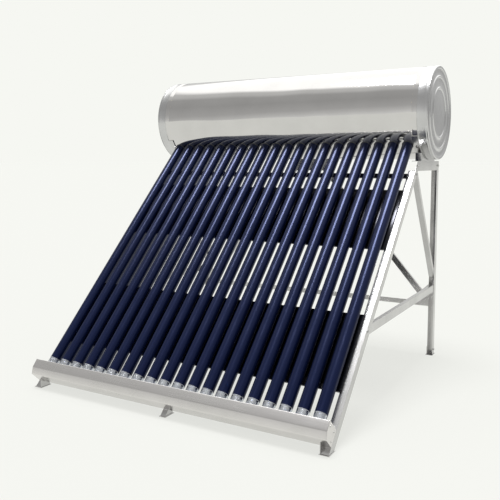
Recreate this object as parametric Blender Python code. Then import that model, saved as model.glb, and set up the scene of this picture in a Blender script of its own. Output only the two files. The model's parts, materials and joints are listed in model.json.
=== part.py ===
"""Thermosiphon solar water heater: a row of evacuated glass tubes plugged into a horizontal insulated tank.

Metres, +Z up. X runs along the tank, -Y is the sunny side. The origin lies on the ground, below the
middle of the whole heater. Every piece is a child of the empty "tank_axis" and is written in its
coordinates, so (0, 0, 0) in the code below is the middle of the tank's axis.

A place on the collector is given as (x, s, n): s is the distance from the tank's axis down the slope,
and n is the height above the plane of the tubes' axes.
"""

from math import cos, pi, radians, sin, sqrt

import bmesh
import bpy
from mathutils import Matrix, Vector

# Driving dimensions
TUBES = 20
PITCH = 0.080
SLOPE = radians(45)
AXIS_HEIGHT = 1.436
GAP = 0.0003  # between two pieces that touch

# Tank
SHELL_RADIUS = 0.2560
SHELL_HALF = 0.880
SHELL_WALL = 0.0008
TANK_SIDES = 36
CAP_RADIUS = 0.2585
CAP_HALF = 0.886
CAP_SKIRT = 0.060
CAP_WALL = 0.0010
INNER_RADIUS = 0.180
INNER_HALF = 0.825
INNER_WALL = 0.0008

# Evacuated tubes
TUBE_LENGTH = 1.800
TUBE_TIP = 1.940  # distance of the tip from the tank's axis
GLASS_RADIUS = 0.029
GLASS_WALL = 0.0016
ABSORBER_RADIUS = 0.0235
ABSORBER_TIP = 0.012  # from the outer tip to the inner one
FUSED_LENGTH = 0.006  # where the two glasses are fused at the mouth
VENT_RADIUS = 0.003  # opening in the outer tip, so that the gap isn't sealed
TUBE_SIDES = 12
BORE_RADIUS = 0.031  # of the holes that the tubes pass through
BORE_SPAN = (0.30, 0.11)  # along the slope, from outside the shell to inside the inner tank

# Ports
PORT_REACH = 0.290
PORT_OUTER = 0.0132
PORT_INNER = 0.0100
PORT_CLEARANCE = 0.0006
PORT_INSIDE = 0.012  # how far a port reaches into the inner tank
PORT_BORE_SPAN = (0.08, 0.32)  # y of the holes that the ports pass through
PORT_SIDES = 12

# Frame
FRAME_HALF = 0.828  # outer face of each side
SHEET = 0.0020
RAIL_TOP_N = -0.041
RAIL_WIDTH = 0.036
RAIL_DEPTH = 0.040
BAR_TOP = -0.265
BAR_HEIGHT = 0.054
LEG_WIDTH = 0.032
LEG_FRONT = 0.188
LEG_BACK = 0.228
UPPER_BRACE = ((-0.205, -0.340), (0.180, -0.925))  # (y, z) of two points on its middle line
UPPER_BRACE_WIDTH = 0.022
UPPER_BRACE_FLANGE = 0.030
BRACE_Z = -1.025
BRACE_HEIGHT = 0.042
BRACE_FLANGE = 0.020
BRACE_TOP_N = -0.053  # where the lower brace ends on the side rail's web
DIAGONAL = ((0.748, -1.062), (0.094, -0.300))  # (x, z) of its foot and its top
DIAGONAL_WIDTH = 0.034
DIAGONAL_FLANGE = 0.018
REAR_BAR_TOP = -1.109
REAR_BAR_HEIGHT = 0.029
PLATE = 0.003  # foot plates and gussets

# Feet, as (front y, back y)
FRONT_FOOT = (-1.380, -1.312)
REAR_FOOT = (0.176, 0.236)
FOOT_MARGIN = 0.004
FOOT_INSET = 0.004  # from the edge of a foot plate to its upright plates
MIDDLE_FOOT_WIDTH = 0.036
REAR_WEB_HEIGHT = 0.050

# Tail box, as (s, n) corners from the upper back edge round the front to the lower back edge
TAIL_HALF = 0.826
TAIL_WALL = 0.0015
TAIL_LIP = 0.012
TAIL_HOLE_SPAN = (1.90, 1.86)  # along the slope, through the box's upper face
CUP_STRIP_HALF = 0.805
TAIL_CORNERS = [(1.876, -0.040), (1.876, 0.052), (1.921, 0.048), (1.952, 0.029), (1.952, -0.040)]

# Sheets under the tubes, as (upper s, lower s)
SHEET_HALF = 0.800
SHEET_TOP_N = -0.033
SHEET_THICKNESS = 0.0012
CROSSBAR_SPAN = (0.437, 0.467)
UPPER_REFLECTOR_SPAN = (0.556, 0.948)
LOWER_REFLECTOR_SPAN = (1.326, 1.715)

GROUND = -AXIS_HEIGHT
UP_SLOPE = Vector((0, cos(SLOPE), sin(SLOPE)))
OFF_SLOPE = Vector((0, -sin(SLOPE), cos(SLOPE)))
X, Y, Z = Vector((1, 0, 0)), Vector((0, 1, 0)), Vector((0, 0, 1))
FRONT_REACH = max((s + n) * sin(SLOPE) for s, n in TAIL_CORNERS)
AXIS_Y = (FRONT_REACH - PORT_REACH) / 2  # puts the origin at the middle of the heater's depth
TUBE_X = [(i - (TUBES - 1) / 2) * PITCH for i in range(TUBES)]

FINISHES = {
    # name: colour, metallic, roughness
    "polished_steel": ((0.78, 0.78, 0.77), 1.0, 0.12),
    "frame_steel": ((0.70, 0.70, 0.68), 1.0, 0.25),
    "mirror_sheet": ((0.60, 0.61, 0.62), 1.0, 0.05),
    "coated_glass": ((0.012, 0.018, 0.050), 0.2, 0.08),
    "foam": ((0.85, 0.72, 0.38), 0.0, 0.90),
    "black_plastic": ((0.03, 0.03, 0.03), 0.0, 0.50),
    "brass": ((0.75, 0.58, 0.30), 1.0, 0.30),
}


def finish(name):
    """The material of this name, made on first use."""
    material = bpy.data.materials.get(name)
    if material is None:
        colour, metallic, roughness = FINISHES[name]
        material = bpy.data.materials.new(name)
        material.use_nodes = True
        shader = material.node_tree.nodes["Principled BSDF"]
        shader.inputs["Base Color"].default_value = (*colour, 1)
        shader.inputs["Metallic"].default_value = metallic
        shader.inputs["Roughness"].default_value = roughness
    return material


def slope_point(x, s, n):
    return X * x - UP_SLOPE * s + OFF_SLOPE * n


def new_object(name, mesh, finish_name, hidden=False):
    """An object under the tank_axis empty. A hidden one is a cutter or a joining piece."""
    made = bpy.data.objects.new(name, mesh)
    bpy.context.scene.collection.objects.link(made)
    made.parent = bpy.data.objects["tank_axis"]
    if finish_name and not mesh.materials:
        mesh.materials.append(finish(finish_name))
    if hidden:
        made.hide_render = True
        made.display_type = "WIRE"
    return made


def mesh_of(name, points, faces, smooth=False):
    """A closed mesh with its faces pointing out."""
    mesh = bpy.data.meshes.new(name)
    shape = bmesh.new()
    corners = [shape.verts.new(point) for point in points]
    for face in faces:
        shape.faces.new([corners[i] for i in face])
    bmesh.ops.recalc_face_normals(shape, faces=shape.faces)
    shape.to_mesh(mesh)
    shape.free()
    if smooth:
        mesh.shade_smooth()
        mesh.set_sharp_from_angle(angle=radians(40))
    return mesh


def joined_mesh(name, meshes):
    """One mesh of several closed ones that don't meet, for a cutter."""
    shape = bmesh.new()
    for mesh in meshes:
        shape.from_mesh(mesh)
    joined = bpy.data.meshes.new(name)
    shape.to_mesh(joined)
    shape.free()
    return joined


def turned_mesh(name, profile, sides, place=None):
    """A profile of (height, radius) turned about Z. It either closes on itself or ends on the axis."""
    points, rings = [], []
    for height, radius in profile:
        if radius == 0:
            rings.append([len(points)])
            points.append(Vector((0, 0, height)))
            continue
        rings.append(range(len(points), len(points) + sides))
        for i in range(sides):
            angle = 2 * pi * i / sides
            points.append(Vector((radius * cos(angle), radius * sin(angle), height)))
    faces = []
    on_axis = len(rings[0]) == 1
    pairs = list(zip(rings, rings[1:])) + ([] if on_axis else [(rings[-1], rings[0])])
    for lower, upper in pairs:
        for i in range(sides):
            j = (i + 1) % sides
            below = [lower[i % len(lower)], lower[j % len(lower)]]
            above = [upper[j % len(upper)], upper[i % len(upper)]]
            faces.append(list(dict.fromkeys(below + above)))
    if place is not None:
        points = [place @ point for point in points]
    return mesh_of(name, points, faces, smooth=True)


def rod_mesh(name, start, end, radius, sides):
    """A plain closed cylinder between two points."""
    along = end - start
    place = Matrix.Translation(start) @ along.to_track_quat("Z", "Y").to_matrix().to_4x4()
    profile = [(0, 0), (0, radius), (along.length, radius), (along.length, 0)]
    return turned_mesh(name, profile, sides, place)


def folded(path, wall):
    """The outline of a sheet bent along a path, with the sheet's thickness to the left of the path."""
    path = [Vector(point) for point in path]
    left = []
    for i, point in enumerate(path):
        before = (point - path[i - 1]).normalized() if i > 0 else None
        after = (path[i + 1] - point).normalized() if i + 1 < len(path) else None
        sides = [Vector((-run.y, run.x)) for run in (before, after) if run is not None]
        mitre = sum(sides, Vector((0, 0))).normalized()
        left.append(point + mitre * wall / mitre.dot(sides[0]))
    return path + left[::-1]


def member(name, outline, origin, across, depth, start, end, finish_name):
    """A straight member: its outline lies along across and depth, and it runs between two planes.

    start and end are each a point and a normal. The member runs along across x depth.
    """
    along = across.cross(depth)
    points = []
    for where, normal in (start, end):
        for u, v in outline:
            base = origin + across * u + depth * v
            points.append(base + along * ((where - base).dot(normal) / along.dot(normal)))
    count = len(outline)
    faces = [list(range(count)), list(range(count, 2 * count))]
    for i in range(count):
        j = (i + 1) % count
        faces.append([i, j, j + count, i + count])
    return new_object(name, mesh_of(name, points, faces), finish_name)


def slab(name, outline, low_x, high_x, finish_name):
    """A plate or a block: its outline of (y, z) runs from low_x to high_x."""
    return member(name, outline, Vector((0, 0, 0)), Y, Z, (X * low_x, X), (X * high_x, X), finish_name)


def sloping(name, outline, low_x, high_x, finish_name):
    """A long piece across the tubes: its outline of (-s, n) runs from low_x to high_x."""
    ends = (X * low_x, X), (X * high_x, X)
    return member(name, outline, Vector((0, 0, 0)), UP_SLOPE, OFF_SLOPE, *ends, finish_name)


def boolean(target, operation, other):
    modifier = target.modifiers.new(operation.lower(), "BOOLEAN")
    modifier.operation = operation
    modifier.solver = "EXACT"
    modifier.object = other


def arc(radius, first, last, steps):
    """Points of (y, z) on a circle round the tank's axis, from one angle in degrees to another."""
    angles = [radians(first + (last - first) * i / steps) for i in range(steps + 1)]
    return [(radius * cos(angle), radius * sin(angle)) for angle in angles]


# Tank -------------------------------------------------------------------------------------------


PORTS = {
    # name: x, height above the tank's axis
    "cold_inlet": (-0.700, -0.070),
    "hot_outlet": (0.700, 0.050),
    "vent_port": (0.000, 0.090),
}


def make_bore_cutter():
    """The holes of the tubes and of the ports, through the shell, the foam and the inner tank."""
    rods = []
    for x in TUBE_X:
        start, end = (slope_point(x, s, 0) for s in BORE_SPAN)
        rods.append(rod_mesh("bore", start, end, BORE_RADIUS, TUBE_SIDES))
    for x, height in PORTS.values():
        start, end = (Vector((x, y, height)) for y in PORT_BORE_SPAN)
        rods.append(rod_mesh("bore", start, end, PORT_OUTER + PORT_CLEARANCE, PORT_SIDES))
    return new_object("bore_cutter", joined_mesh("bore_cutter", rods), None, hidden=True)


def along_x(mesh_name, profile, finish_name, node):
    """A turned shape whose profile is (x, radius)."""
    mesh = turned_mesh(mesh_name, profile, TANK_SIDES, Matrix.Rotation(pi / 2, 4, "Y"))
    return new_object(node, mesh, finish_name)


def make_tank_shell(bores):
    inner = SHELL_RADIUS - SHELL_WALL
    profile = [
        (-SHELL_HALF, SHELL_RADIUS),
        (SHELL_HALF, SHELL_RADIUS),
        (SHELL_HALF, inner),
        (-SHELL_HALF, inner),
    ]
    boolean(along_x("tank_shell", profile, "polished_steel", "tank_shell"), "DIFFERENCE", bores)


def make_foam(bores):
    outer = SHELL_RADIUS - SHELL_WALL - GAP
    end = SHELL_HALF - 0.001
    profile = [(-end, 0), (-end, outer), (end, outer), (end, 0)]
    foam = along_x("tank_insulation", profile, "foam", "tank_insulation")
    hollow = INNER_HALF + GAP
    room = [(-hollow, 0), (-hollow, INNER_RADIUS + GAP), (hollow, INNER_RADIUS + GAP), (hollow, 0)]
    mesh = turned_mesh("foam_hollow", room, TANK_SIDES, Matrix.Rotation(pi / 2, 4, "Y"))
    boolean(foam, "DIFFERENCE", new_object("foam_hollow", mesh, None, hidden=True))
    boolean(foam, "DIFFERENCE", bores)


def make_inner_tank(bores):
    inner = INNER_RADIUS - INNER_WALL
    end = INNER_HALF - INNER_WALL
    outside = [(-INNER_HALF, 0), (-INNER_HALF, INNER_RADIUS), (INNER_HALF, INNER_RADIUS), (INNER_HALF, 0)]
    inside = [(-end, 0), (-end, inner), (end, inner), (end, 0)]
    tank = along_x("inner_tank", outside, "polished_steel", "inner_tank")
    mesh = turned_mesh("inner_tank_room", inside, TANK_SIDES, Matrix.Rotation(pi / 2, 4, "Y"))
    boolean(tank, "DIFFERENCE", new_object("inner_tank_room", mesh, None, hidden=True))
    boolean(tank, "DIFFERENCE", bores)


def make_end_cap(node, side):
    """A stamped cap that slides over the shell, with a rolled rim and two raised rings on its face."""
    face = CAP_HALF - 0.004
    skirt = CAP_HALF - CAP_SKIRT
    outside = [
        (skirt, CAP_RADIUS),
        (CAP_HALF - 0.006, CAP_RADIUS),
        (CAP_HALF, CAP_RADIUS - 0.006),
        (CAP_HALF, CAP_RADIUS - 0.016),
        (face, CAP_RADIUS - 0.022),
        (face, CAP_RADIUS * 0.80),
        (CAP_HALF, CAP_RADIUS * 0.77),
        (face, CAP_RADIUS * 0.74),
        (face, CAP_RADIUS * 0.56),
        (CAP_HALF, CAP_RADIUS * 0.53),
        (face, CAP_RADIUS * 0.50),
        (face, 0),
    ]
    lining = CAP_RADIUS - CAP_WALL
    inside = [(face - CAP_WALL, 0), (face - CAP_WALL, lining), (skirt, lining)]
    profile = [(side * x, radius) for x, radius in inside + outside]
    along_x(node, profile, "polished_steel", node)


def make_port(node, x, height):
    """A threaded nipple, from inside the inner tank to behind the shell."""
    wall_start = sqrt(INNER_RADIUS**2 - height**2) - PORT_INSIDE
    profile = [
        (wall_start, PORT_INNER),
        (wall_start, PORT_OUTER),
        (PORT_REACH, PORT_OUTER),
        (PORT_REACH, PORT_INNER),
    ]
    place = Matrix.Translation((x, 0, height)) @ Matrix.Rotation(-pi / 2, 4, "X")
    new_object(node, turned_mesh(node, profile, PORT_SIDES, place), "brass")


# Evacuated tubes ----------------------------------------------------------------------------------


def dome(tip, radius):
    """Profile points of a round closed end, from its edge ring to just before its tip."""
    return [(tip + radius, radius), (tip + radius * (1 - sin(pi / 4)), radius * cos(pi / 4))]


def tube_mesh():
    """Two glasses, one inside the other and fused at the mouth. The tip is at the mesh's origin."""
    mouth = TUBE_LENGTH
    gap_end = TUBE_LENGTH - FUSED_LENGTH
    outer_inside = GLASS_RADIUS - GLASS_WALL
    absorber_inside = ABSORBER_RADIUS - GLASS_WALL
    profile = [(ABSORBER_TIP + GLASS_WALL, 0)]
    profile += dome(ABSORBER_TIP + GLASS_WALL, absorber_inside)[::-1]
    profile += [(mouth, absorber_inside), (mouth, GLASS_RADIUS)]
    profile += dome(0, GLASS_RADIUS)
    profile += [(0, VENT_RADIUS), (GLASS_WALL, VENT_RADIUS)]
    profile += dome(GLASS_WALL, outer_inside)[::-1]
    profile += [(gap_end, outer_inside), (gap_end, ABSORBER_RADIUS)]
    profile += dome(ABSORBER_TIP, ABSORBER_RADIUS)
    profile += [(ABSORBER_TIP, 0)]
    return turned_mesh("evacuated_tube", profile, TUBE_SIDES)


def make_tubes():
    """Each tube slides along its own axis, so its origin is its tip, on that axis."""
    mesh = tube_mesh()
    for number, x in enumerate(TUBE_X, 1):
        tube = new_object(f"evacuated_tube_{number:02d}", mesh, "coated_glass")
        tube.location = slope_point(x, TUBE_TIP, 0)
        tube.rotation_mode = "QUATERNION"
        tube.rotation_quaternion = UP_SLOPE.to_track_quat("Z", "Y")


# Tail box -----------------------------------------------------------------------------------------


def make_tail_rail():
    """The long box that the tubes' lower ends stand in, with a round hole for each tube."""
    (top, back), lower = TAIL_CORNERS[0], TAIL_CORNERS[-1]
    path = [(top + TAIL_LIP, back), *TAIL_CORNERS, (lower[0] - TAIL_LIP, back)]
    outline = [(-s, n) for s, n in folded(path, -TAIL_WALL)]
    rail = sloping("tail_rail", outline, -TAIL_HALF, TAIL_HALF, "frame_steel")
    rods = []
    for x in TUBE_X:
        start, end = (slope_point(x, s, 0) for s in TAIL_HOLE_SPAN)
        rods.append(rod_mesh("hole", start, end, BORE_RADIUS, TUBE_SIDES))
    cutter = new_object("tail_hole_cutter", joined_mesh("tail_hole_cutter", rods), None, hidden=True)
    boolean(rail, "DIFFERENCE", cutter)


def make_tail_end(node, side):
    """The plate that closes one end of the tail box."""
    outline = [(-s, n) for s, n in TAIL_CORNERS]
    low, high = sorted((side * (TAIL_HALF + GAP), side * FRAME_HALF))
    sloping(node, outline, low, high, "frame_steel")


def make_tube_cups():
    """A plastic strip in the tail box, with a cup for the end of each tube."""
    top, floor, low, high = 1.915, 1.9465, -0.036, 0.0335
    outline = [(-top, low), (-floor, low), (-floor, 0.022), (-1.936, high), (-top, high)]
    strip = sloping("tube_cup_strip", outline, -CUP_STRIP_HALF, CUP_STRIP_HALF, "black_plastic")
    room = GLASS_RADIUS + 0.0008
    profile = [(-GAP, 0), (-GAP, 0.004), (0.0075, 0.0215), (0.0285, room), (0.060, room), (0.060, 0)]
    turn = UP_SLOPE.to_track_quat("Z", "Y").to_matrix().to_4x4()
    cups = []
    for x in TUBE_X:
        place = Matrix.Translation(slope_point(x, TUBE_TIP, 0)) @ turn
        cups.append(turned_mesh("cup", profile, TUBE_SIDES, place))
    cutter = new_object("cup_cutter", joined_mesh("cup_cutter", cups), None, hidden=True)
    boolean(strip, "DIFFERENCE", cutter)


# Sheets under the tubes ---------------------------------------------------------------------------


def make_sheet(node, span):
    """A mirror sheet close under the tubes, folded down at its upper and lower edges onto the rails."""
    upper, lower = span
    foot = RAIL_TOP_N + GAP
    path = [(-upper, foot), (-upper, SHEET_TOP_N), (-lower, SHEET_TOP_N), (-lower, foot)]
    sloping(node, folded(path, SHEET_THICKNESS), -SHEET_HALF, SHEET_HALF, "mirror_sheet")


# Frame --------------------------------------------------------------------------------------------


def make_side_rail(node, side):
    """An angle under each end of the tube row, its web outwards. It is cut level at both ends."""
    low, high = RAIL_TOP_N - RAIL_DEPTH, RAIL_TOP_N
    outline = folded([(0, low), (0, high), (-RAIL_WIDTH, high)], SHEET)
    outline = [(side * u, v) for u, v in outline]
    top = Z * (BAR_TOP - BAR_HEIGHT - GAP)
    foot = Z * (GROUND + PLATE + GAP)
    ends = [(top, Z), (foot, Z)] if side > 0 else [(foot, Z), (top, Z)]
    member(node, outline, X * side * FRAME_HALF, X, OFF_SLOPE, *ends, "frame_steel")


def make_support_bar(node, side):
    """The channel that carries one end of the tank, on top of the rail and the leg."""
    bottom = BAR_TOP - BAR_HEIGHT
    outline = folded([(-RAIL_WIDTH, bottom), (0, bottom), (0, BAR_TOP), (-RAIL_WIDTH, BAR_TOP)], SHEET)
    outline = [(side * u, v) for u, v in outline]
    front = (slope_point(0, 0, RAIL_TOP_N), OFF_SLOPE)
    back = (Y * LEG_BACK, Y)
    ends = (front, back) if side < 0 else (back, front)
    member(node, outline, X * side * FRAME_HALF, X, Z, *ends[::-1], "frame_steel")


def make_rear_leg(node, side):
    """An upright channel whose open side faces the tubes."""
    wide = side * LEG_WIDTH
    outline = folded([(0, LEG_FRONT), (0, LEG_BACK), (-wide, LEG_BACK), (-wide, LEG_FRONT)], side * SHEET)
    foot = (Z * (GROUND + PLATE + GAP), Z)
    top = (Z * (BAR_TOP - BAR_HEIGHT - GAP), Z)
    member(node, outline, X * side * FRAME_HALF, X, Y, foot, top, "frame_steel")


def make_cradle(node, side):
    """A curved saddle between the support bar and the tank."""
    seat = SHELL_RADIUS + GAP
    outside = seat + 0.004
    foot = BAR_TOP + GAP
    outline = arc(seat, 211, 329, 12) + arc(outside, 329, 302, 3)
    outline += [(0.137, foot), (-0.137, foot)] + arc(outside, 238, 211, 3)
    low, high = sorted((side * (FRAME_HALF - RAIL_WIDTH), side * (CAP_HALF - CAP_SKIRT - GAP)))
    slab(node, outline, low, high, "frame_steel")


def make_upper_brace(node, side):
    """An angle from the top of the side rail's web down and back to the rear leg, its flange in front."""
    top, foot = (Vector((0, *point)) for point in UPPER_BRACE)
    front = (Z * (BAR_TOP - BAR_HEIGHT - GAP), Z)
    depth = (foot - top).normalized().cross(X)
    make_brace(node, side, top, depth, UPPER_BRACE_WIDTH, UPPER_BRACE_FLANGE, front)


def make_brace(node, side, through, depth, width, flange, front):
    """An L of sheet from inside the side rail's web, where the plane front cuts it, to the rear leg."""
    outline = folded([(0, -width / 2), (0, width / 2), (-flange, width / 2)], SHEET)
    outline = [(side * u, v) for u, v in outline]
    origin = X * side * (FRAME_HALF - SHEET - GAP) + through
    leg_front = (Y * (LEG_FRONT - GAP), Y)
    member(node, outline, origin, X, depth, front, leg_front, "frame_steel")


def make_lower_brace(node, side):
    """A level angle from the side rail's web back to the rear leg."""
    front = (slope_point(0, 0, BRACE_TOP_N), OFF_SLOPE)
    make_brace(node, side, Z * BRACE_Z, Z, BRACE_HEIGHT, BRACE_FLANGE, front)


def make_rear_bar():
    """The level angle between the rear legs."""
    half = FRAME_HALF - LEG_WIDTH - GAP
    front = LEG_FRONT + PLATE + GAP
    bottom = REAR_BAR_TOP - REAR_BAR_HEIGHT
    outline = folded([(front, REAR_BAR_TOP), (front, bottom), (front + 0.020, bottom)], SHEET)
    slab("rear_bar", outline, -half, half, "frame_steel")


def make_gusset(node, side):
    """A plate at the corner of the rear leg, the rear bar and the diagonal."""
    edge = FRAME_HALF - LEG_WIDTH - GAP
    outline = [(0.697, -1.136), (edge, -1.136), (edge, -1.004), (0.780, -1.020), (0.726, -1.063)]
    outline = [(side * x, z) for x, z in outline]
    front, back = (Y * LEG_FRONT, Y), (Y * (LEG_FRONT + PLATE), Y)
    member(node, outline, Vector((0, 0, 0)), X, Z, front, back, "frame_steel")


def make_diagonal(node, side):
    """A rear angle from a gusset up to the bracket under the middle of the tank."""
    foot, top = (Vector((side * x, 0, z)) for x, z in DIAGONAL)
    along = (top - foot).normalized()
    across = Y.cross(along)
    front = LEG_FRONT + PLATE + GAP
    half = DIAGONAL_WIDTH / 2
    outline = folded([(-half, 0), (half, 0), (half, DIAGONAL_FLANGE)], SHEET)
    member(node, outline, foot + Y * front, across, Y, (top, along), (foot, along), "frame_steel")


def make_middle_bracket():
    """A plate that hangs from the tank's shell and holds the tops of the two diagonals."""
    seat = -sqrt((SHELL_RADIUS + GAP) ** 2 - LEG_FRONT**2) - 0.001
    outline = [(-0.150, seat), (-0.135, -0.325), (0.135, -0.325), (0.150, seat)]
    front, back = (Y * LEG_FRONT, Y), (Y * (LEG_FRONT + PLATE), Y)
    member("middle_bracket", outline, Vector((0, 0, 0)), X, Z, front, back, "frame_steel")


# Feet ---------------------------------------------------------------------------------------------


def make_foot(node, span_x, span_y, uprights):
    """A ground plate with upright plates welded on it, each an outline of (y, z) and its ends in x."""
    top = GROUND + PLATE
    front, back = span_y
    outline = [(front, GROUND), (back, GROUND), (back, top), (front, top)]
    plate = slab(node, outline, *sorted(span_x), "frame_steel")
    for number, (outline, low_x, high_x) in enumerate(uprights):
        upright = slab(f"{node}_upright_{number}", outline, low_x, high_x, "frame_steel")
        upright.hide_render = True
        upright.display_type = "WIRE"
        boolean(plate, "UNION", upright)


def front_web_outline():
    """The web under the tail box: it fits the box's lower face and lower back edge."""
    root = GROUND + PLATE / 2
    edge = slope_point(0, TAIL_CORNERS[-1][0], TAIL_CORNERS[-1][1])
    notch = edge.z - 2 * GAP
    front, back = FRONT_FOOT[0] + FOOT_INSET, FRONT_FOOT[1] - FOOT_INSET
    rise = [(back, notch + (back - edge.y)), (edge.y, notch), (front, notch + (edge.y - front))]
    return [(front, root), (back, root), *rise]


def make_middle_foot():
    """A folded bracket: a face that leans back to the box's lower edge, and a web behind its right end."""
    root = GROUND + PLATE / 2
    edge = slope_point(0, TAIL_CORNERS[-1][0], TAIL_CORNERS[-1][1])
    top = edge.z - 2 * GAP
    front, back = FRONT_FOOT[0] + FOOT_INSET, FRONT_FOOT[1] - FOOT_INSET
    face = [(front, root), (front + 1.4 * PLATE, root), (edge.y + 1.4 * PLATE, top), (edge.y, top)]
    middle = PLATE / 2
    web = [(front + middle, root), (back, root), (back, top + (back - edge.y))]
    web.append((edge.y + middle, top + middle))
    half = MIDDLE_FOOT_WIDTH / 2
    end = half - FOOT_INSET
    uprights = [(face, -end, end), (web, end - 1.5 * PLATE, end - middle)]
    make_foot("front_foot_middle", (-half, half), FRONT_FOOT, uprights)


def make_side_feet(name, side):
    """The foot under one end of the tail box and the side rail, and the foot under the rear leg."""
    outer = FRAME_HALF + FOOT_MARGIN
    for node, inside, span_y, outline in (
        (f"front_foot_{name}", FRAME_HALF - RAIL_WIDTH, FRONT_FOOT, front_web_outline()),
        (f"rear_foot_{name}", FRAME_HALF - LEG_WIDTH, REAR_FOOT, rear_web_outline()),
    ):
        web = inside - PLATE - GAP
        low, high = sorted((side * web, side * (web + PLATE)))
        make_foot(node, (side * (web - FOOT_MARGIN), side * outer), span_y, [(outline, low, high)])


def rear_web_outline():
    """The web beside the rear leg."""
    root, top = GROUND + PLATE / 2, GROUND + REAR_WEB_HEIGHT
    return [(LEG_FRONT, root), (LEG_BACK, root), (LEG_BACK, top), (LEG_FRONT, top)]


def main():
    for old in list(bpy.data.objects):
        bpy.data.objects.remove(old, do_unlink=True)
    axis = bpy.data.objects.new("tank_axis", None)
    axis.location = (0, AXIS_Y, AXIS_HEIGHT)
    bpy.context.scene.collection.objects.link(axis)

    bores = make_bore_cutter()
    make_tank_shell(bores)
    make_foam(bores)
    make_inner_tank(bores)
    for node, (x, height) in PORTS.items():
        make_port(node, x, height)
    make_tubes()
    make_tail_rail()
    make_tube_cups()
    make_sheet("upper_crossbar", CROSSBAR_SPAN)
    make_sheet("upper_reflector", UPPER_REFLECTOR_SPAN)
    make_sheet("lower_reflector", LOWER_REFLECTOR_SPAN)
    for name, side in (("left", -1), ("right", 1)):
        make_end_cap(f"end_cap_{name}", side)
        make_tail_end(f"tail_end_{name}", side)
        make_side_rail(f"side_rail_{name}", side)
        make_support_bar(f"support_bar_{name}", side)
        make_rear_leg(f"rear_leg_{name}", side)
        make_cradle(f"cradle_{name}", side)
        make_upper_brace(f"upper_brace_{name}", side)
        make_lower_brace(f"lower_brace_{name}", side)
        make_gusset(f"gusset_{name}", side)
        make_diagonal(f"rear_diagonal_{name}", side)
        make_side_feet(name, side)
    make_rear_bar()
    make_middle_bracket()
    make_middle_foot()


main()
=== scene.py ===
import json
from math import cos, pi, radians, sin, sqrt

import bmesh
import bpy
from mathutils import Matrix, Vector

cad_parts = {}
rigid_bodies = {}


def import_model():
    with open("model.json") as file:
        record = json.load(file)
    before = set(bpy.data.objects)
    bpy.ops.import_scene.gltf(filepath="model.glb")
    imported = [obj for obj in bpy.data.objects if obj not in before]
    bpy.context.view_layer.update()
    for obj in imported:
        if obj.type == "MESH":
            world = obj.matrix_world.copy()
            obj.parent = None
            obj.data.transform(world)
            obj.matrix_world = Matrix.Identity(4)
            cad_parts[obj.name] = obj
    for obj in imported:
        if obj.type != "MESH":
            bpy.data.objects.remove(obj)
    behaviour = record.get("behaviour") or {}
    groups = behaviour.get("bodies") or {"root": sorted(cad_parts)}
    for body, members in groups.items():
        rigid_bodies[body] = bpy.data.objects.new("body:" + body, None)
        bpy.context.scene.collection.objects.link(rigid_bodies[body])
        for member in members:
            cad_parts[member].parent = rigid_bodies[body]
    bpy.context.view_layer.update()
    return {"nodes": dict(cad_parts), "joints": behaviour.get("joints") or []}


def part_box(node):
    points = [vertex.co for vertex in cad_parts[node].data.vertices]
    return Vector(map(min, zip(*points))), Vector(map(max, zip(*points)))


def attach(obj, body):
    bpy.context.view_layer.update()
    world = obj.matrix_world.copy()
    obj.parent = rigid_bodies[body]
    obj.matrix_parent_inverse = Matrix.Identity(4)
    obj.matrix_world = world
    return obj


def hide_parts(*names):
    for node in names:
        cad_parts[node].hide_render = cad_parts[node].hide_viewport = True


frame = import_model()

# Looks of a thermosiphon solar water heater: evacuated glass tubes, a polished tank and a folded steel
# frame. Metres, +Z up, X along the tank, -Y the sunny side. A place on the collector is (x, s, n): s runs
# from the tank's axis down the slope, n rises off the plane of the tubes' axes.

NODES = frame["nodes"]
JOINTS = frame["joints"]
X, Y = Vector((1, 0, 0)), Vector((0, 1, 0))
ROOT = JOINTS[0]["parent"]
UP_SLOPE = Vector(JOINTS[0]["axis"]).normalized()
OFF_SLOPE = X.cross(UP_SLOPE)

cap_low, cap_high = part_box("end_cap_right")
AXIS = Vector((0, (cap_low.y + cap_high.y) / 2, (cap_low.z + cap_high.z) / 2))
CAP_RADIUS = (cap_high.z - cap_low.z) / 2
CAP_HALF = cap_high.x
CAP_INNER = cap_low.x
shell_low, shell_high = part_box("tank_shell")
SHELL_RADIUS = (shell_high.z - shell_low.z) / 2
SHELL_HALF = shell_high.x
SHELL_WALL = 0.0008

# Standard evacuated tube, 58 mm outside and 47 mm at the absorber
TUBE_RADIUS = 0.029
ABSORBER_RADIUS = 0.0235
GLASS_WALL = 0.0016
TUBE_LENGTH = 1.800
ABSORBER_END = 0.013  # from the outer tip to the absorber's
GETTER_TOP = 0.099  # how far the mirror and the clear glass reach up from the tip
TIP_DEPTH = 0.004  # from the nipple's end to the glass's round end
NIPPLE_RADIUS = 0.0032
FILM_GAP = 0.0002  # between the glass and the mirror film on it
FILM_DEPTH = 0.0003
BORE_RADIUS = 0.031  # of the holes that the tubes pass through
PORT_CLEARANCE = 0.0006
SWAGE_INSET = 0.034  # from a cap's edge to the far side of the swage by it
SEAM_INSET = 0.036
TAIL_EDGE, SHEET_EDGE, FRAME_EDGE = 0.0006, 0.0004, 0.0007  # widths of the rounded edges of CAD nodes
ROUND = 48  # sides of the tubes and their rings
TANK_ROUND = 160  # sides of the tank
DOME_STEPS = 9


def along_slope(node):
    """(least s, greatest s, least n, greatest n) of a CAD node."""
    places = [vertex.co - AXIS for vertex in NODES[node].data.vertices]
    down = [-place.dot(UP_SLOPE) for place in places]
    off = [place.dot(OFF_SLOPE) for place in places]
    return min(down), max(down), min(off), max(off)


def slope_point(x, s, n):
    return AXIS + X * x - UP_SLOPE * s + OFF_SLOPE * n


# Materials ----------------------------------------------------------------------------------------


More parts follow.
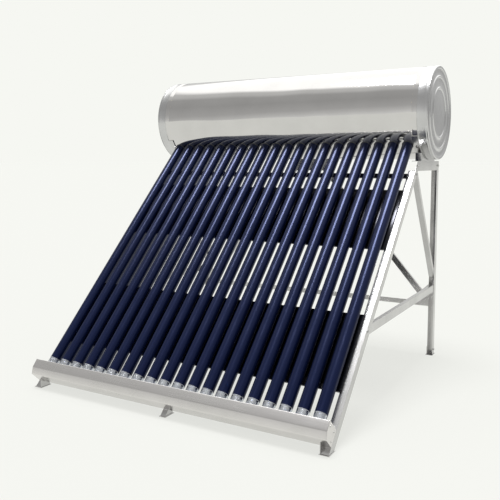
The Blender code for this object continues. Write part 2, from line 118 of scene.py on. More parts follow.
def node(tree, kind, **values):
    """A shader node. Lower-case names set its attributes, others its inputs, with _ for a space."""
    made = tree.nodes.new(kind)
    for name, value in values.items():
        if name[0].islower():
            setattr(made, name, value)
        else:
            made.inputs[name.replace("_", " ")].default_value = value
    return made


def noise_of(tree, scale, stretch=(1, 1, 1), detail=4.0, turn=(0, 0, 0)):
    """Noise over the object's own coordinates, in metres. A small stretch draws it out along that axis."""
    place = node(tree, "ShaderNodeTexCoord")
    mapping = node(tree, "ShaderNodeMapping")
    mapping.inputs["Rotation"].default_value = turn
    mapping.inputs["Scale"].default_value = stretch
    noise = node(tree, "ShaderNodeTexNoise", Scale=scale, Detail=detail)
    tree.links.new(place.outputs["Object"], mapping.inputs["Vector"])
    tree.links.new(mapping.outputs["Vector"], noise.inputs["Vector"])
    return noise.outputs["Fac"]


def mapped(tree, source, low, high, start=0.3, end=0.7):
    """The source's values from start to end, brought to low and high."""
    spread = node(tree, "ShaderNodeMapRange")
    spread.inputs["From Min"].default_value = start
    spread.inputs["From Max"].default_value = end
    spread.inputs["To Min"].default_value = low
    spread.inputs["To Max"].default_value = high
    tree.links.new(source, spread.inputs["Value"])
    return spread.outputs["Result"]


def blended(tree, share, first, second):
    """A colour between two, by a share from 0 to 1."""
    mix = tree.nodes.new("ShaderNodeMix")
    mix.data_type = "RGBA"
    for socket in mix.inputs:
        if socket.type == "RGBA":
            socket.default_value = (*(first if socket.name == "A" else second), 1)
    tree.links.new(share, mix.inputs["Factor"])
    return next(socket for socket in mix.outputs if socket.type == "RGBA")


def bumped(tree, shader, height, distance):
    """Relief of this depth on the shader."""
    bump = node(tree, "ShaderNodeBump", Strength=1.0, Distance=distance)
    tree.links.new(height, bump.inputs["Height"])
    tree.links.new(bump.outputs["Normal"], shader.inputs["Normal"])
    return bump


def principled(name, **values):
    """A material's node tree and its shader, with the shader's own values set."""
    material = bpy.data.materials.new(name)
    material.use_nodes = True
    shader = material.node_tree.nodes["Principled BSDF"]
    for key, value in values.items():
        shader.inputs[key.replace("_", " ")].default_value = value
    return material, material.node_tree, shader


def metal(name, light, dark, smooth, rough, grain, fine, waves):
    """Metal: its grain runs along the axis where grain is least, and waves is the depth of its ripples."""
    material, tree, shader = principled(name, Metallic=1.0)
    lines = noise_of(tree, 1.0, grain, 6.0)
    patches = noise_of(tree, 7.0, (1, 1, 1), 3.0)
    tree.links.new(blended(tree, mapped(tree, patches, 0, 1), light, dark), shader.inputs["Base Color"])
    both = node(tree, "ShaderNodeMath", operation="MULTIPLY_ADD")
    tree.links.new(lines, both.inputs[0])
    both.inputs[1].default_value = 0.7
    tree.links.new(mapped(tree, patches, 0, 0.3), both.inputs[2])
    roughness = mapped(tree, both.outputs["Value"], smooth, rough, 0.2, 0.8)
    tree.links.new(roughness, shader.inputs["Roughness"])
    small = bumped(tree, shader, lines, fine)
    if waves:
        long = noise_of(tree, 4.0, (0.6, 1, 1), 1.0)
        wide = node(tree, "ShaderNodeBump", Strength=1.0, Distance=waves)
        tree.links.new(long, wide.inputs["Height"])
        tree.links.new(wide.outputs["Normal"], small.inputs["Normal"])
    return material


def dull(name, light, dark, smooth, rough, scale, depth):
    """Rubber, plastic or foam: two near colours and a fine grain."""
    material, tree, shader = principled(name)
    grain = noise_of(tree, scale, detail=5.0)
    patches = noise_of(tree, 18.0, detail=3.0)
    tree.links.new(blended(tree, mapped(tree, patches, 0, 1), light, dark), shader.inputs["Base Color"])
    tree.links.new(mapped(tree, grain, smooth, rough), shader.inputs["Roughness"])
    bumped(tree, shader, grain, depth)
    return material


def make_absorber_coat():
    """A selective coating: nearly black, deep blue where it mirrors, a little uneven along the tube."""
    material, tree, shader = principled("absorber_coat", Metallic=0.85)
    shader.inputs["Specular Tint"].default_value = (0.55, 0.62, 1.0, 1)
    shader.inputs["Coat Weight"].default_value = 0.35
    shader.inputs["Coat Roughness"].default_value = 0.12
    shader.inputs["Coat Tint"].default_value = (0.75, 0.80, 1.0, 1)
    clouds = noise_of(tree, 9.0, (1, 0.35, 0.35), 3.0)
    share = mapped(tree, clouds, 0, 1)
    colour = blended(tree, share, (0.018, 0.024, 0.072), (0.030, 0.036, 0.098))
    tree.links.new(colour, shader.inputs["Base Color"])
    tree.links.new(mapped(tree, clouds, 0.24, 0.34), shader.inputs["Roughness"])
    bumped(tree, shader, noise_of(tree, 420.0), 0.00002)
    return material


def make_tube_glass():
    """Glass, opaque navy like the coating inside it, and clear over the mirror at the tip."""
    material, tree, shader = principled("tube_glass", IOR=1.47)
    shader.inputs["Specular IOR Level"].default_value = 0.34
    shader.inputs["Specular Tint"].default_value = (0.44, 0.52, 1.0, 1)
    place = node(tree, "ShaderNodeTexCoord")
    parts = node(tree, "ShaderNodeSeparateXYZ")
    tree.links.new(place.outputs["Object"], parts.inputs["Vector"])
    fade = 0.002
    dark = mapped(tree, parts.outputs["Z"], 0, 1, GETTER_TOP - fade, GETTER_TOP + fade)
    clouds = noise_of(tree, 6.0, (1, 1, 0.3), 3.0)
    share = mapped(tree, clouds, 0, 1)
    navy = blended(tree, share, (0.0022, 0.0040, 0.0175), (0.0036, 0.0062, 0.0245))
    tint = blended(tree, dark, (0.93, 0.95, 0.97), (0, 0, 0))
    tree.links.new(navy, next(c for c in tint.node.inputs if c.name == "B" and c.type == "RGBA"))
    tree.links.new(tint, shader.inputs["Base Color"])
    tree.links.new(mapped(tree, dark, 1, 0, 0, 1), shader.inputs["Transmission Weight"])
    dust = mapped(tree, noise_of(tree, 60.0, (1, 1, 0.2), 5.0), 0.18, 0.24)
    haze = node(tree, "ShaderNodeMath", operation="MULTIPLY")
    tree.links.new(dust, haze.inputs[0])
    tree.links.new(mapped(tree, dark, 0.2, 1, 0, 1), haze.inputs[1])
    tree.links.new(haze.outputs["Value"], shader.inputs["Roughness"])
    return material


# name: slot, light and dark colour, least and greatest roughness, grain, its depth, depth of the ripples
METALS = {
    "tank": (
        "tank_steel", (0.64, 0.63, 0.62), (0.60, 0.59, 0.58), 0.04, 0.09, (6, 240, 240), 1e-5, 0.006
    ),
    "cap": ("cap_steel", (0.60, 0.60, 0.60), (0.54, 0.54, 0.54), 0.18, 0.28, (90, 90, 90), 2e-5, 6e-4),
    "inner": ("inner_steel", (0.66, 0.66, 0.65), (0.60, 0.60, 0.59), 0.25, 0.40, (4, 99, 99), 3e-5, 0),
    "frame": (
        "frame_steel", (0.58, 0.575, 0.57), (0.50, 0.495, 0.49), 0.15, 0.24, (160, 12, 12), 2e-5, 4e-4
    ),
    "tail": (
        "tail_steel", (0.72, 0.70, 0.69), (0.66, 0.645, 0.63), 0.20, 0.30, (6, 240, 240), 3e-5, 6e-4
    ),
    # The mirror sheets' near-black colour is a painted dark reflection: it stands in for the dark tube
    # undersides and shade that the polished sheets reflect.
    "mirror": (
        "mirror_sheet", (0.045, 0.045, 0.05), (0.035, 0.035, 0.04), 0.16, 0.26, (2, 90, 90), 1e-5, 8e-4
    ),
    "getter": ("getter_silver", (0.80, 0.80, 0.82), (0.55, 0.55, 0.58), 0.10, 0.26, (40, 40, 40), 2e-5, 0),
    "bolt": ("bolt_steel", (0.66, 0.66, 0.65), (0.52, 0.52, 0.51), 0.22, 0.40, (300, 300, 300), 2e-5, 0),
    "brass": ("port_brass", (0.76, 0.58, 0.28), (0.62, 0.46, 0.22), 0.22, 0.38, (200, 60, 200), 3e-5, 0),
}

# name: slot, light and dark colour, least and greatest roughness, the grain's scale and depth
DULL = {
    "rubber": ("black_rubber", (0.020, 0.020, 0.021), (0.034, 0.034, 0.035), 0.45, 0.62, 700, 5e-5),
    "plastic": ("black_plastic", (0.024, 0.024, 0.025), (0.040, 0.040, 0.041), 0.40, 0.55, 900, 4e-5),
    "foam": ("foam", (0.83, 0.69, 0.36), (0.74, 0.60, 0.28), 0.85, 0.95, 380, 0.0012),
}


def make_materials():
    made = {name: metal(*values) for name, values in METALS.items()}
    made.update({name: dull(*values) for name, values in DULL.items()})
    return {**made, "coat": make_absorber_coat(), "glass": make_tube_glass()}


# Shapes -------------------------------------------------------------------------------------------


def new_mesh(name, points, faces, sharp=35.0):
    """A closed mesh with its faces pointing out, smooth except at edges sharper than the angle."""
    mesh = bpy.data.meshes.new(name)
    shape = bmesh.new()
    corners = [shape.verts.new(point) for point in points]
    for face in faces:
        shape.faces.new([corners[i] for i in face])
    bmesh.ops.recalc_face_normals(shape, faces=shape.faces)
    shape.to_mesh(mesh)
    shape.free()
    mesh.shade_smooth()
    mesh.set_sharp_from_angle(angle=radians(sharp))
    return mesh


def merged(name, meshes, sharp=35.0):
    """One mesh of several closed ones."""
    shape = bmesh.new()
    for mesh in meshes:
        shape.from_mesh(mesh)
    joined = bpy.data.meshes.new(name)
    shape.to_mesh(joined)
    shape.free()
    for mesh in meshes:
        bpy.data.meshes.remove(mesh)
    joined.shade_smooth()
    joined.set_sharp_from_angle(angle=radians(sharp))
    return joined


def turned(name, profile, sides, place=None, sharp=35.0):
    """A profile of (height, radius) turned about Z. It closes on itself, or both ends are on the axis."""
    points, rings = [], []
    for height, radius in profile:
        if radius == 0:
            rings.append([len(points)])
            points.append(Vector((0, 0, height)))
            continue
        rings.append(range(len(points), len(points) + sides))
        for i in range(sides):
            angle = 2 * pi * i / sides
            points.append(Vector((radius * cos(angle), radius * sin(angle), height)))
    pairs = list(zip(rings, rings[1:]))
    if len(rings[0]) > 1:
        pairs.append((rings[-1], rings[0]))
    faces = []
    for lower, upper in pairs:
        for i in range(sides):
            j = (i + 1) % sides
            below = [lower[i % len(lower)], lower[j % len(lower)]]
            above = [upper[j % len(upper)], upper[i % len(upper)]]
            faces.append(list(dict.fromkeys(below + above)))
    if place is not None:
        points = [place @ point for point in points]
    return new_mesh(name, points, faces, sharp)


def rounded(points, radius, steps=4, closed=False):
    """The path with each of its corners rounded off."""
    points = [Vector(point) for point in points]
    count = len(points)
    made = []
    for i, point in enumerate(points):
        if not closed and i in (0, count - 1):
            made.append(point)
            continue
        before, after = points[i - 1] - point, points[(i + 1) % count] - point
        reach = min(radius, before.length * 0.45, after.length * 0.45)
        start, end = point + before.normalized() * reach, point + after.normalized() * reach
        for step in range(steps + 1):
            t = step / steps
            made.append(start * (1 - t) ** 2 + point * 2 * t * (1 - t) + end * t**2)
    return made


def folded(path, wall):
    """The outline of a sheet bent along a path, with its thickness to the left of the path."""
    left = []
    for i, point in enumerate(path):
        before = (point - path[i - 1]).normalized() if i > 0 else None
        after = (path[i + 1] - point).normalized() if i + 1 < len(path) else None
        sides = [Vector((-run.y, run.x)) for run in (before, after) if run is not None]
        mitre = sum(sides, Vector((0, 0))).normalized()
        left.append(point + mitre * wall / mitre.dot(sides[0]))
    return path + left[::-1]


def prism(name, outline, origin, across, depth, start, end):
    """An outline of (across, depth) drawn out from start to end along across x depth."""
    along = across.cross(depth)
    points = [
        origin + across * u + depth * v + along * reach for reach in (start, end) for u, v in outline
    ]
    count = len(outline)
    faces = [list(range(count)), list(range(count, 2 * count))]
    for i in range(count):
        j = (i + 1) % count
        faces.append([i, j, j + count, i + count])
    return new_mesh(name, points, faces)


def piece(name, mesh, material, body=ROOT, stands_for=(), place=None):
    """A visible piece that rides on a body. Pieces that share a mesh each have a place."""
    made = bpy.data.objects.new(name, mesh)
    bpy.context.scene.collection.objects.link(made)
    if place is not None:
        made.matrix_world = place
    if not mesh.materials:
        mesh.materials.append(MATERIALS[material])
    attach(made, body)
    if stands_for:
        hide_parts(*stands_for)
    return made


def cut(made, meshes):
    """Cuts closed meshes out of a piece, and keeps the result as its own mesh."""
    cutter = bpy.data.objects.new("cutter", merged("cutter", meshes))
    bpy.context.scene.collection.objects.link(cutter)
    modifier = made.modifiers.new("holes", "BOOLEAN")
    modifier.operation = "DIFFERENCE"
    modifier.solver = "EXACT"
    modifier.object = cutter
    graph = bpy.context.evaluated_depsgraph_get()
    result = bpy.data.meshes.new_from_object(made.evaluated_get(graph))
    made.modifiers.clear()
    made.data = result
    bpy.data.objects.remove(cutter)
    result.shade_smooth()
    result.set_sharp_from_angle(angle=radians(35))


def turn_to(place, direction):
    """A matrix that brings Z to a direction and the origin to a place."""
    return Matrix.Translation(place) @ direction.to_track_quat("Z", "Y").to_matrix().to_4x4()


def rod(start, end, radius):
    along = end - start
    profile = [(0, 0), (0, radius), (along.length, radius), (along.length, 0)]
    return turned("rod", profile, ROUND, turn_to(start, along))


# Tubes --------------------------------------------------------------------------------------------

first_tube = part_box("evacuated_tube_01")
MOUTH = (AXIS.z - first_tube[1].z) / UP_SLOPE.z + TUBE_RADIUS * OFF_SLOPE.z / UP_SLOPE.z
TIP = MOUTH + TUBE_LENGTH
TUBES = [joint["child"] for joint in JOINTS]


def dome(tip, radius):
    """Profile points of a round end, from its edge up to just before its tip."""
    angles = [pi / 2 * i / DOME_STEPS for i in range(DOME_STEPS)]
    return [(tip + radius * (1 - sin(angle)), radius * cos(angle)) for angle in angles]


def make_tube_meshes():
    """The outer glass with its nipple, the coated inner glass and the mirror at the tip."""
    inside = TUBE_RADIUS - GLASS_WALL
    lip = 0.0005  # of the rounded mouth
    hair = 0.0004  # radius of a fine bore left open through the nipple
    glass = [(TUBE_LENGTH, inside), (TUBE_LENGTH, TUBE_RADIUS - lip), (TUBE_LENGTH - lip, TUBE_RADIUS)]
    glass += [point for point in dome(TIP_DEPTH, TUBE_RADIUS) if point[1] > NIPPLE_RADIUS]
    glass += [(0.0038, NIPPLE_RADIUS), (0.0012, NIPPLE_RADIUS * 0.85), (0.0002, NIPPLE_RADIUS * 0.4)]
    glass += [(0.0002, hair), (TIP_DEPTH + GLASS_WALL, hair)]
    glass += [point for point in dome(TIP_DEPTH + GLASS_WALL, inside)[::-1] if point[1] > hair]
    outer = turned("tube_glass", glass, ROUND)
    lining = ABSORBER_RADIUS - GLASS_WALL
    mouth = TUBE_LENGTH - 0.0008
    coat = [(ABSORBER_END + GLASS_WALL, 0), *dome(ABSORBER_END + GLASS_WALL, lining)[::-1]]
    coat += [(mouth, lining), (mouth, ABSORBER_RADIUS)]
    coat += [*dome(ABSORBER_END, ABSORBER_RADIUS), (ABSORBER_END, 0)]
    absorber = turned("absorber", coat, ROUND)
    film = inside - FILM_GAP
    tip = TIP_DEPTH + GLASS_WALL + FILM_GAP
    mirror = [(GETTER_TOP, film - FILM_DEPTH), (GETTER_TOP, film), *dome(tip, film), (tip, 0)]
    mirror += [(tip + FILM_DEPTH, 0), *dome(tip + FILM_DEPTH, film - FILM_DEPTH)[::-1]]
    return outer, absorber, turned_open(mirror)


def turned_open(outline):
    """The mirror's cup: its outline starts and ends away from the axis and touches it twice in between."""
    touching = [i for i, point in enumerate(outline) if point[1] == 0]
    outer, inner = outline[: touching[0] + 1], outline[touching[1] :]
    return turned("getter", inner + outer, ROUND)


def make_tubes():
    outer, absorber, getter = make_tube_meshes()
    for number, body in enumerate(TUBES, 1):
        node_name = f"evacuated_tube_{number:02d}"
        low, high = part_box(node_name)
        place = turn_to(slope_point((low.x + high.x) / 2, TIP, 0), UP_SLOPE)
        for name, mesh, material, slot in (
            ("tube_glass", outer, "glass", "clear_glass"),
            ("absorber", absorber, "coat", "coated_glass"),
            ("getter_mirror", getter, "getter", "getter_silver"),
        ):
            stands_for = [node_name] if name == "tube_glass" else []
            piece(f"{name}_{number:02d}", mesh, material, body, stands_for, place)


def tube_centres():
    boxes = [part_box(f"evacuated_tube_{number:02d}") for number in range(1, len(TUBES) + 1)]
    return [(low.x + high.x) / 2 for low, high in boxes]


# Tank ---------------------------------------------------------------------------------------------

PORTS = ("cold_inlet", "hot_outlet", "vent_port")
ABOUT_X = Matrix.Translation(AXIS) @ Matrix.Rotation(pi / 2, 4, "Y")


def port_place(name):
    """(x, z, radius, front y, back y) of a port."""
    low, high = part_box(name)
    return (low.x + high.x) / 2, (low.z + high.z) / 2, (high.x - low.x) / 2, low.y, high.y


def make_shell():
    """The outer skin, with a folded seam low at the back and a swage near each end."""
    inner = SHELL_RADIUS - SHELL_WALL
    swage = [(0, 0), (0.003, -0.0008), (0.006, -0.0012), (0.009, -0.0008), (0.012, 0)]
    swage_start = CAP_INNER - SWAGE_INSET
    right = [(swage_start + x, SHELL_RADIUS + dip) for x, dip in swage]
    left = [(-x, radius) for x, radius in right[::-1]]
    outside = [(-SHELL_HALF, SHELL_RADIUS), *left, *right, (SHELL_HALF, SHELL_RADIUS)]
    lining = [(x, radius - SHELL_WALL) for x, radius in outside[::-1]]
    skin = piece(
        "tank_skin",
        turned("tank_skin", outside + lining, TANK_ROUND, ABOUT_X),
        "tank",
        stands_for=["tank_shell"],
    )
    holes = []
    for x in tube_centres():
        start, end = slope_point(x, SHELL_RADIUS * 1.1, 0), slope_point(x, inner * 0.9, 0)
        holes.append(rod(start, end, BORE_RADIUS))
    for x, z, radius, _, back in map(port_place, PORTS):
        start, end = Vector((x, AXIS.y + SHELL_RADIUS * 0.8, z)), Vector((x, back, z))
        holes.append(rod(start, end, radius + PORT_CLEARANCE))
    cut(skin, holes)
    make_seam()


def make_seam():
    """The lock seam: a flat fold that runs the length of the skin, on the shaded side."""
    middle, half_width, height = radians(318), 0.006, 0.0016
    sunk, corner = 0.0004, 0.0007
    turn = Matrix.Rotation(middle, 4, "X")
    across = turn @ Vector((0, 0, 1))
    out = turn @ Vector((0, 1, 0))
    reach = SHELL_RADIUS - sunk
    corners = [(-half_width, 0), (half_width, 0), (half_width, height), (-half_width, height)]
    outline = rounded(corners, corner, closed=True)
    origin = AXIS + out * reach
    half = CAP_INNER - SEAM_INSET
    mesh = prism("tank_seam", [tuple(point) for point in outline], origin, across, out, -half, half)
    piece("tank_seam", mesh, "tank")


def make_cap(name, side):
    """A stamped end: a skirt with a bead, a rolled rim and two raised rings round a shallow dish."""
    wall = 0.001
    rim = CAP_RADIUS - 0.0004
    skirt = CAP_RADIUS - 0.0016
    face = CAP_HALF - 0.0045
    ring = 0.0042  # height of a raised ring
    # (x, radius) from the skirt's edge, over the bead, to the rolled rim
    outside = [
        (CAP_INNER, skirt - 0.0002),
        (CAP_INNER + 0.001, skirt + 0.0006),
        (CAP_INNER + 0.003, skirt),
        (CAP_HALF - 0.0215, skirt),
        (CAP_HALF - 0.0185, skirt + 0.0005),
        (CAP_HALF - 0.0160, rim),
        (CAP_HALF - 0.0135, skirt + 0.0005),
        (CAP_HALF - 0.0105, skirt - 0.0003),
        (CAP_HALF - 0.0065, skirt),
    ]
    roll = 0.0058
    for i in range(9):
        angle = pi / 2 * i / 8
        outside.append((CAP_HALF - roll + roll * sin(angle), rim - roll + roll * cos(angle)))
    outside += [(CAP_HALF - 0.0006, rim - 0.0105), (CAP_HALF - 0.0022, rim - 0.0150), (face, rim - 0.0200)]
    for share in (0.77, 0.53):
        middle = CAP_RADIUS * share
        for i in range(-6, 7):
            lift = ring * (0.5 + 0.5 * cos(pi * i / 6))
            outside.append((face + lift, middle - i * 0.0017))
    outside += [(face, CAP_RADIUS * 0.45), (face + 0.0012, CAP_RADIUS * 0.30)]
    outside += [(face + 0.0018, CAP_RADIUS * 0.12), (face + 0.0020, 0)]
    inside = [(face - wall, 0), (face - wall, skirt - 0.022), (face - wall - 0.008, skirt - wall)]
    inside.append((CAP_INNER, skirt - wall - 0.0002))
    profile = [(side * x, radius) for x, radius in inside + outside]
    mesh = turned(name, profile, TANK_ROUND, ABOUT_X, sharp=50)
    piece(f"{name}_stamped", mesh, "cap", stands_for=[name])


def make_dust_rings():
    """A flared silicone ring on the skin round each tube."""
    seat = -SHELL_RADIUS
    # (height up the slope from the tank's axis, radius)
    profile = [
        (seat - 0.0022, TUBE_RADIUS + 0.0002),
        (seat - 0.0024, TUBE_RADIUS + 0.0008),
        (seat - 0.0014, TUBE_RADIUS + 0.0016),
        (seat - 0.0002, TUBE_RADIUS + 0.0022),
        (seat + 0.0012, TUBE_RADIUS + 0.0025),
        (seat + 0.0040, TUBE_RADIUS + 0.0025),
        (seat + 0.0046, TUBE_RADIUS + 0.0002),
    ]
    mesh = turned("dust_ring", profile, ROUND, sharp=60)
    for number, x in enumerate(tube_centres(), 1):
        place = turn_to(slope_point(x, 0, 0), UP_SLOPE)
        piece(f"dust_ring_{number:02d}", mesh, "rubber", place=place)


def make_port(name):
    """A threaded brass nipple with a silicone collar where it leaves the skin."""
    x, z, radius, front, back = port_place(name)
    bore = radius * 0.76
    pitch, depth, turns = 0.0018, 0.0012, 9
    chamfer = 0.0012
    thread = []
    for i in range(turns):
        start = back - chamfer - (turns - i) * pitch
        thread += [(start, radius - depth), (start + pitch * 0.5, radius - 0.0001)]
    wall = [(front, bore), (front, radius - 0.0006)] + thread
    wall += [(back - chamfer, radius - depth), (back, radius - depth - 0.0006), (back, bore)]
    place = Matrix.Translation((x, 0, z)) @ Matrix.Rotation(-pi / 2, 4, "X")
    mesh = turned(name, wall, ROUND, place)
    piece(f"{name}_nipple", mesh, "brass", stands_for=[name])
    height = z - AXIS.z
    skin = AXIS.y + sqrt(SHELL_RADIUS**2 - height**2)
    lean = abs(height) / SHELL_RADIUS * radius * 1.6
    collar = [
        (skin - lean - 0.002, radius + 0.0002),
        (skin - lean - 0.002, radius + 0.0080),
        (skin + 0.0020, radius + 0.0070),
        (skin + 0.0050, radius + 0.0040),
        (skin + 0.0065, radius + 0.0002),
    ]
    piece(f"{name}_collar", turned(name, collar, ROUND, place, sharp=60), "rubber")


# Tail box -----------------------------------------------------------------------------------------


def make_tail_box():
    """The folded steel box that the tubes stand in. Each hole's edge is turned up into a short collar."""
    top, bottom, back, high = along_slope("tail_rail")
    low_x, high_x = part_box("tail_rail")[0].x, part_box("tail_rail")[1].x
    wall, lip = 0.0015, 0.012
    corners = [(top, back), (top, high), (top + 0.045, high - 0.004)]
    corners += [(bottom, high - 0.023), (bottom, back)]
    path = [(-(top + lip), back)] + [(-s, n) for s, n in corners] + [(-(bottom - lip), back)]
    outline = [tuple(point) for point in folded(rounded(path, 0.004, 5), wall)]
    along = UP_SLOPE.cross(OFF_SLOPE)
    start, end = sorted((along.x * low_x, along.x * high_x))
    mesh = prism("tail_box", outline, AXIS, UP_SLOPE, OFF_SLOPE, start, end)
    box = piece("tail_box", mesh, "tail", stands_for=["tail_rail"])
    centres = tube_centres()
    reach = 0.020  # of each hole's cutter, both ways from the box's upper face
    spans = [(slope_point(x, top + reach, 0), slope_point(x, top - reach, 0)) for x in centres]
    cut(box, [rod(below, above, BORE_RADIUS) for below, above in spans])
    collar = [
        (0.0016, BORE_RADIUS - 0.0004),
        (-0.0060, BORE_RADIUS - 0.0009),
        (-0.0068, BORE_RADIUS - 0.0002),
        (-0.0062, BORE_RADIUS + 0.0006),
        (-0.0018, BORE_RADIUS + 0.0014),
        (-0.0002, BORE_RADIUS + 0.0034),
        (0.0002, BORE_RADIUS + 0.0034),
    ]
    collars = []
    for x in centres:
        place = turn_to(slope_point(x, top, 0), -UP_SLOPE)
        collars.append(turned("collar", collar, ROUND, place, sharp=60))
    piece("tail_box_collars", merged("tail_box_collars", collars, 60), "tail")


# Bolts --------------------------------------------------------------------------------------------


def bolt_mesh(place, direction, size):
    """A hex head on a washer. The place is on the surface that the washer lies on."""
    washer = turned(
        "washer",
        [(0, 0), (0, size * 1.05), (size * 0.10, size * 1.08), (size * 0.20, size * 1.0), (size * 0.20, 0)],
        32,
    )
    half = size * 0.86
    head_low, head_high = size * 0.2, size * 0.85
    points, faces = [], []
    levels = [(head_low, 1.0), (head_high - size * 0.12, 1.0), (head_high, 0.90)]
    for height, share in levels:
        for i in range(6):
            angle = pi / 3 * i
            points.append(Vector((half * share * cos(angle), half * share * sin(angle), height)))
    for level in range(2):
        for i in range(6):
            j = (i + 1) % 6
            faces.append([level * 6 + i, level * 6 + j, level * 6 + 6 + j, level * 6 + 6 + i])
    faces += [list(range(6)), list(range(12, 18))]
    head = new_mesh("head", points, faces, 20)
    both = merged("bolt", [washer, head], 25)
    both.transform(turn_to(place, direction.normalized()))
    return both


def make_bolts():
    """Bolts where the members meet, on each side of the frame, and screws on the tail box's ends."""
    size = 0.0075  # about a washer's radius
    sheet = 0.0023  # the diagonal's web and the gap between it and the gusset
    for name, side in (("left", -1), ("right", 1)):
        out = X * side
        edge = 1 if side > 0 else 0
        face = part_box(f"side_rail_{name}")[edge].x
        bar_low, bar_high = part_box(f"support_bar_{name}")
        leg_low, leg_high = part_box(f"rear_leg_{name}")
        gusset_low, gusset_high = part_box(f"gusset_{name}")
        upper_low, upper_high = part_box(f"upper_brace_{name}")
        lower_low, lower_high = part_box(f"lower_brace_{name}")
        middle_y, bar_z = (leg_low.y + leg_high.y) / 2, (bar_low.z + bar_high.z) / 2
        made = [
            bolt_mesh(Vector((face, y, z)), out, size)
            # (y, z) of each bolt
            for y, z in (
                (upper_low.y + 0.004, upper_high.z - 0.018),
                (lower_low.y + 0.020, (lower_low.z + lower_high.z) / 2),
                (middle_y, bar_z),
                (bar_low.y + 0.045, bar_z),
                (middle_y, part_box(f"rear_foot_{name}")[1].z - 0.018),
            )
        ]
        foot_x = (gusset_high if side < 0 else gusset_low).x + side * 0.055
        for x, z in ((foot_x, gusset_low.z + 0.070), (foot_x + side * 0.020, gusset_low.z + 0.012)):
            made.append(bolt_mesh(Vector((x, gusset_high.y + sheet, z)), Y, size))
        piece(f"frame_bolts_{name}", merged("frame_bolts", made, 25), "bolt")
        top, bottom, low_n, high_n = along_slope(f"tail_end_{name}")
        end_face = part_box(f"tail_end_{name}")[edge].x
        head = [(0, 0), (0, 0.0042), (0.0010, 0.0040), (0.0020, 0.0028), (0.0025, 0.0012), (0.0026, 0)]
        spots = [(top + 0.018, high_n - 0.020), (bottom - 0.016, low_n + 0.018)]
        spots.append((top + 0.018, low_n + 0.018))
        screws = [turned("screw", head, 24, turn_to(slope_point(end_face, s, n), out)) for s, n in spots]
        piece(f"tail_screws_{name}", merged("tail_screws", screws, 40), "bolt")


# CAD nodes that keep their shape --------------------------------------------------------------------


def dress(name, material, edge=0.0):
    """Gives a CAD node its material, and rounds its folds if edge says how much."""
    made = NODES[name]
    made.data.materials.clear()
    made.data.materials.append(MATERIALS[material])
    if edge:
        weld = made.modifiers.new("weld", "WELD")
        weld.merge_threshold = 1e-5
        bevel = made.modifiers.new("folds", "BEVEL")
        bevel.width = edge
        bevel.segments = 2
        bevel.limit_method = "ANGLE"
        bevel.angle_limit = radians(25)
        bevel.harden_normals = False


def dress_frame():
    """Dresses every CAD node that no finer piece replaces."""
    for name in NODES:
        if name.startswith(("evacuated_tube", "end_cap")) or name in (*PORTS, "tank_shell", "tail_rail"):
            continue
        if name == "tank_insulation":
            dress(name, "foam")
        elif name == "inner_tank":
            dress(name, "inner")
        elif name == "tube_cup_strip":
            dress(name, "plastic")
        elif name.startswith("tail_end"):
            dress(name, "tail", TAIL_EDGE)
        # The crossbar and the reflectors get the mirror sheet, painted near black to stand in for the dark
        # reflections and shade on it.
        elif name in ("upper_crossbar", "upper_reflector", "lower_reflector"):
            dress(name, "mirror", SHEET_EDGE)
        else:
            dress(name, "frame", FRAME_EDGE)


# Stage --------------------------------------------------------------------------------------------

PALE = (0.922, 0.930, 0.888)  # of the backdrop


def make_world():
    """A soft studio, bright overhead and behind and grey ahead of the tank, with a plain backdrop."""
    world = bpy.data.worlds.new("studio")
    bpy.context.scene.world = world
    world.use_nodes = True
    tree = world.node_tree
    tree.nodes.clear()
    place = node(tree, "ShaderNodeTexCoord")
    lift = node(tree, "ShaderNodeVectorMath", operation="DOT_PRODUCT")
    lift.inputs[1].default_value = (0, 0.447, 0.894)
    tree.links.new(place.outputs["Generated"], lift.inputs[0])
    share = mapped(tree, lift.outputs["Value"], 0, 1, -1, 1)
    ramp = tree.nodes.new("ShaderNodeValToRGB")
    # (how far towards overhead and behind, from 0 to 1; brightness)
    stops = [(0.28, 0.85), (0.34, 0.68), (0.42, 0.53), (0.60, 0.44), (0.74, 0.48)]
    stops += [(0.785, 0.68), (0.83, 0.74), (0.865, 1.6)]
    band = ramp.color_ramp
    band.elements[0].position, band.elements[1].position = stops[0][0], stops[-1][0]
    for position, _ in stops[1:-1]:
        band.elements.new(position)
    for element, (_, level) in zip(band.elements, stops):
        element.color = (level, level, level * 0.985, 1)
    tree.links.new(share, ramp.inputs["Fac"])
    light = tree.nodes.new("ShaderNodeBackground")
    tree.links.new(ramp.outputs["Color"], light.inputs["Color"])
    plain = tree.nodes.new("ShaderNodeBackground")
    plain.inputs["Color"].default_value = (*PALE, 1)
    path = tree.nodes.new("ShaderNodeLightPath")
    mix = tree.nodes.new("ShaderNodeMixShader")
    out = tree.nodes.new("ShaderNodeOutputWorld")
    tree.links.new(path.outputs["Is Camera Ray"], mix.inputs["Fac"])
    tree.links.new(light.outputs["Background"], mix.inputs[1])
    tree.links.new(plain.outputs["Background"], mix.inputs[2])
    tree.links.new(mix.outputs["Shader"], out.inputs["Surface"])


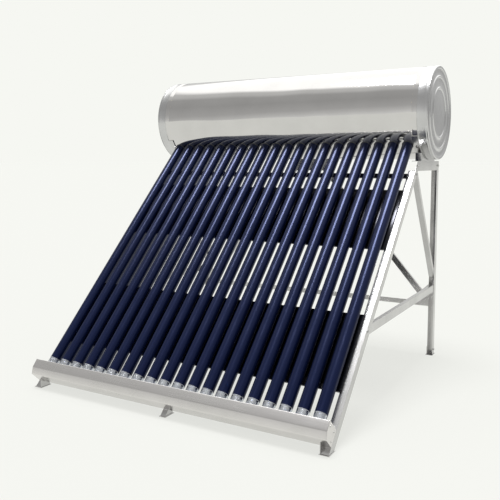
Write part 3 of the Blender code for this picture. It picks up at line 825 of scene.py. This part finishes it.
def make_floor():
    """A pale floor that glows a little, so that the shadows on it stay faint."""
    half, drop, glow = 400.0, 0.0002, 0.765
    mesh = bpy.data.meshes.new("floor")
    corners = ((-half, -half), (half, -half), (half, half), (-half, half))
    mesh.from_pydata([(x, y, -drop) for x, y in corners], [], [(0, 1, 2, 3)])
    material, _, shader = principled("floor", Roughness=0.9)
    shader.inputs["Base Color"].default_value = (0.09, 0.09, 0.085, 1)
    shader.inputs["Specular IOR Level"].default_value = 0.0
    shader.inputs["Emission Color"].default_value = (*PALE, 1)
    shader.inputs["Emission Strength"].default_value = glow
    mesh.materials.append(material)
    floor = bpy.data.objects.new("floor", mesh)
    bpy.context.scene.collection.objects.link(floor)


def make_lights():
    """A broad soft sun nearly overhead, which draws the highlight down each tube."""
    sun = bpy.data.lights.new("overhead", "SUN")
    sun.energy = 4.6
    sun.angle = radians(26)
    sun.color = (0.96, 0.97, 1.0)
    lamp = bpy.data.objects.new("overhead", sun)
    lamp.rotation_euler = (-Vector((-0.07, -0.06, 1.0))).to_track_quat("-Z", "Y").to_euler()
    bpy.context.scene.collection.objects.link(lamp)


def make_camera():
    """The camera stands to the right of the middle, a little below the tank, and looks slightly down."""
    camera = bpy.data.cameras.new("camera")
    camera.sensor_width = 36.0
    camera.lens = 46.80
    camera.shift_x = -0.0245
    camera.shift_y = -0.0514
    made = bpy.data.objects.new("camera", camera)
    bpy.context.scene.collection.objects.link(made)
    azimuth, elevation = radians(29.312), radians(5.519)
    look = Vector((-sin(azimuth) * cos(elevation), cos(azimuth) * cos(elevation), -sin(elevation)))
    made.location = AXIS + Vector((1.81271, -3.66919, -0.26796))
    made.rotation_euler = look.to_track_quat("-Z", "Y").to_euler()
    camera.clip_end = 1000
    bpy.context.scene.camera = made


make_camera()
MATERIALS = make_materials()
make_shell()
for cap_name, cap_side in (("end_cap_left", -1), ("end_cap_right", 1)):
    make_cap(cap_name, cap_side)
make_dust_rings()
for port_name in PORTS:
    make_port(port_name)
make_tubes()
make_tail_box()
make_bolts()
dress_frame()
make_world()
make_floor()
make_lights()
bpy.context.scene.view_settings.view_transform = "Standard"
